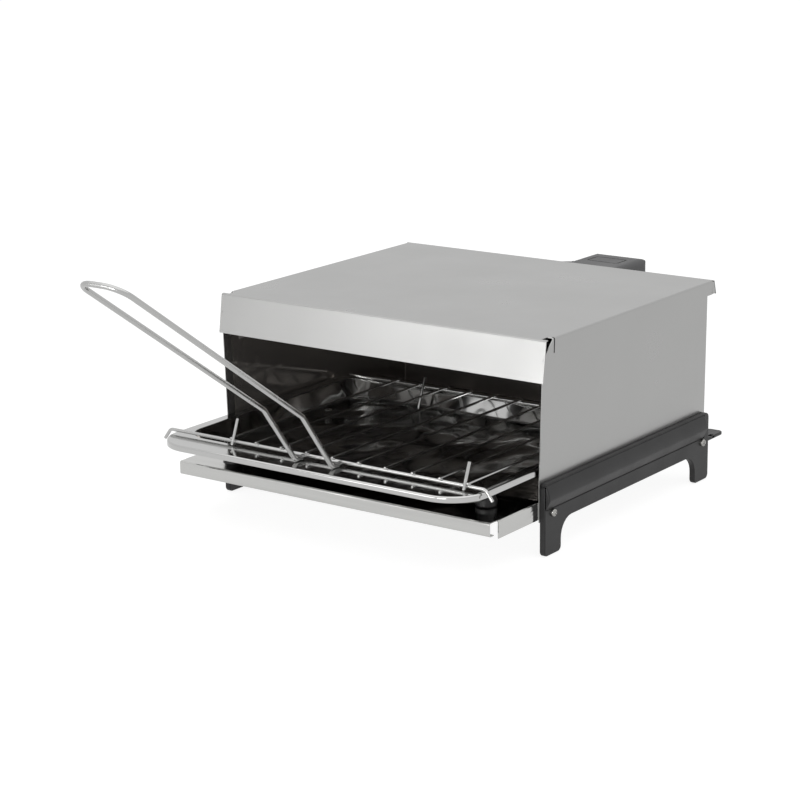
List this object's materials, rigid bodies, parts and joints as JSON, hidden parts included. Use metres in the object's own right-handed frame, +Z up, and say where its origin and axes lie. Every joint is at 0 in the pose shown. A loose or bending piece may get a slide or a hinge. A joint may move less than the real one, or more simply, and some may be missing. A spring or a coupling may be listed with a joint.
{
  "type": "electric tabletop grill",
  "caption": "Low electric tabletop grill: folded stainless hood on black side rails, heater under the top, pull-out drip pan and a wire rack with a long loop handle.",
  "frame": {"origin": "middle of the overall footprint, on the surface the grill stands on", "axes": "+X to the grill's right as seen from the front, +Y from the handle's end towards the terminal box at the rear, +Z up"},
  "size_m": [0.3832, 0.7506, 0.2988],
  "materials": {
    "brushed_stainless": "fine brushed, satin",
    "satin_steel": "satin",
    "bright_stainless": "bright rolled",
    "polished_stainless": "polished, drawn sheet",
    "bright_reflector": "bright",
    "rack_wire": "bright plated wire",
    "heater_sheath": "dark, heat tinted",
    "plated_steel": "zinc plated",
    "black_moulding": "satin black",
    "grey_moulding": "satin dark grey",
    "white_ceramic": "unglazed, off-white",
    "brass_fittings": "plain",
    "insulating_board": "pressed fibre board",
    "lead_insulation": "heat-proof sleeve"
  },
  "bodies": {
    "frame": {"hood": "brushed_stainless", "back_panel": "satin_steel", "base_plate": "bright_stainless", "left_side_rail": "black_moulding", "right_side_rail": "black_moulding", "rail_screws": "plated_steel", "rail_nuts": "plated_steel", "back_panel_rivets": "plated_steel", "reflector": "bright_reflector", "heating_element": "heater_sheath", "front_cradle": "plated_steel", "rear_cradle": "plated_steel", "element_bushings": "white_ceramic", "terminal_pins": "brass_fittings", "terminal_nuts": "brass_fittings", "terminal_box": "grey_moulding", "box_plate": "insulating_board", "box_screws": "plated_steel", "terminal_block": "white_ceramic", "block_screws": "brass_fittings", "inner_leads": "lead_insulation", "earth_screw": "brass_fittings", "cord_gland": "black_moulding", "gland_nut": "black_moulding"},
    "pan": {"drip_pan": "polished_stainless", "pan_feet": "black_moulding", "foot_rivets": "plated_steel"},
    "rack": {"rack_rods": "rack_wire", "rack_bars": "rack_wire", "rack_legs": "rack_wire", "rack_handle": "rack_wire"}
  },
  "joints": [
    {"name": "pan_slide", "type": "slide", "parent": "frame", "child": "pan", "axis": [0, 1, 0], "range_m": [-0.012, 0.08]},
    {"name": "rack_lift", "type": "slide", "parent": "pan", "child": "rack", "axis": [0, 0, 1], "range_m": [0, 0.02]}
  ]
}
